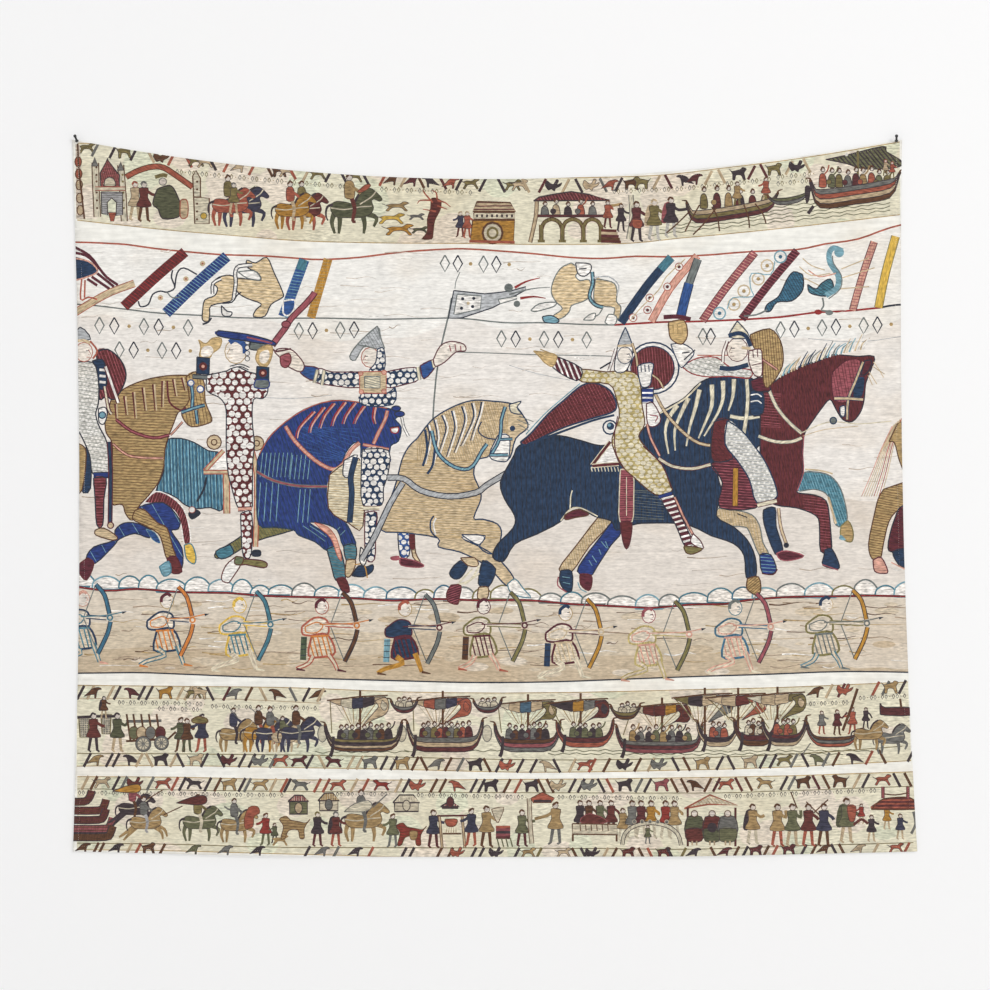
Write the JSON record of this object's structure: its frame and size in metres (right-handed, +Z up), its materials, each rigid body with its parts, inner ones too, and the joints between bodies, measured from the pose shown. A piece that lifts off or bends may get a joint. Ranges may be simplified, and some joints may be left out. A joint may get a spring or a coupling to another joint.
{
  "type": "wall hanging",
  "caption": "Rectangular printed fabric hanging with turned, stitched hems, pinned to a wall through its top corners; the top edge sags between the pins.",
  "frame": {"origin": "midway between the two pin holes, in the middle of the cloth's thickness", "axes": "+X along the width to the viewer's right, +Y into the wall, so the printed face looks along -Y, and +Z up"},
  "size_m": [1.527, 0.0239, 1.3034],
  "materials": {
    "printed_cloth": "lightweight woven polyester, printed on the front with embroidered friezes, matt with a faint sheen",
    "hem_cloth": "unprinted back of the same polyester, turned and pressed",
    "sewing_thread": "spun polyester sewing thread",
    "pin_grip": "black moulded plastic, softly glossy",
    "pin_steel": "bright drawn steel"
  },
  "bodies": {
    "pinned_top": {"cloth_upper": "printed_cloth", "top_hem": "hem_cloth", "left_hem_upper": "hem_cloth", "right_hem_upper": "hem_cloth", "top_seam_front_thread": "sewing_thread", "top_seam_back_thread": "sewing_thread", "left_upper_seam_front_thread": "sewing_thread", "left_upper_seam_back_thread": "sewing_thread", "right_upper_seam_front_thread": "sewing_thread", "right_upper_seam_back_thread": "sewing_thread"},
    "lifting_cloth": {"cloth_lower": "printed_cloth", "bottom_hem": "hem_cloth", "left_hem_lower": "hem_cloth", "right_hem_lower": "hem_cloth", "bottom_seam_front_thread": "sewing_thread", "bottom_seam_back_thread": "sewing_thread", "left_lower_seam_front_thread": "sewing_thread", "left_lower_seam_back_thread": "sewing_thread", "right_lower_seam_front_thread": "sewing_thread", "right_lower_seam_back_thread": "sewing_thread"},
    "left_pin": {"left_pin_grip": "pin_grip", "left_pin_needle": "pin_steel"},
    "right_pin": {"right_pin_grip": "pin_grip", "right_pin_needle": "pin_steel"}
  },
  "joints": [
    {"name": "cloth_lift", "type": "hinge", "parent": "pinned_top", "child": "lifting_cloth", "pos_m": [0, -0.00095, -0.1535], "axis": [-1, 0, 0], "range_deg": [0, 75]},
    {"name": "left_pin_pull", "type": "slide", "parent": "pinned_top", "child": "left_pin", "axis": [-0.1378, -0.7587, 0.6367], "range_m": [0, 0.025]},
    {"name": "right_pin_pull", "type": "slide", "parent": "pinned_top", "child": "right_pin", "axis": [-0.1378, -0.7587, 0.6367], "range_m": [0, 0.025]}
  ]
}
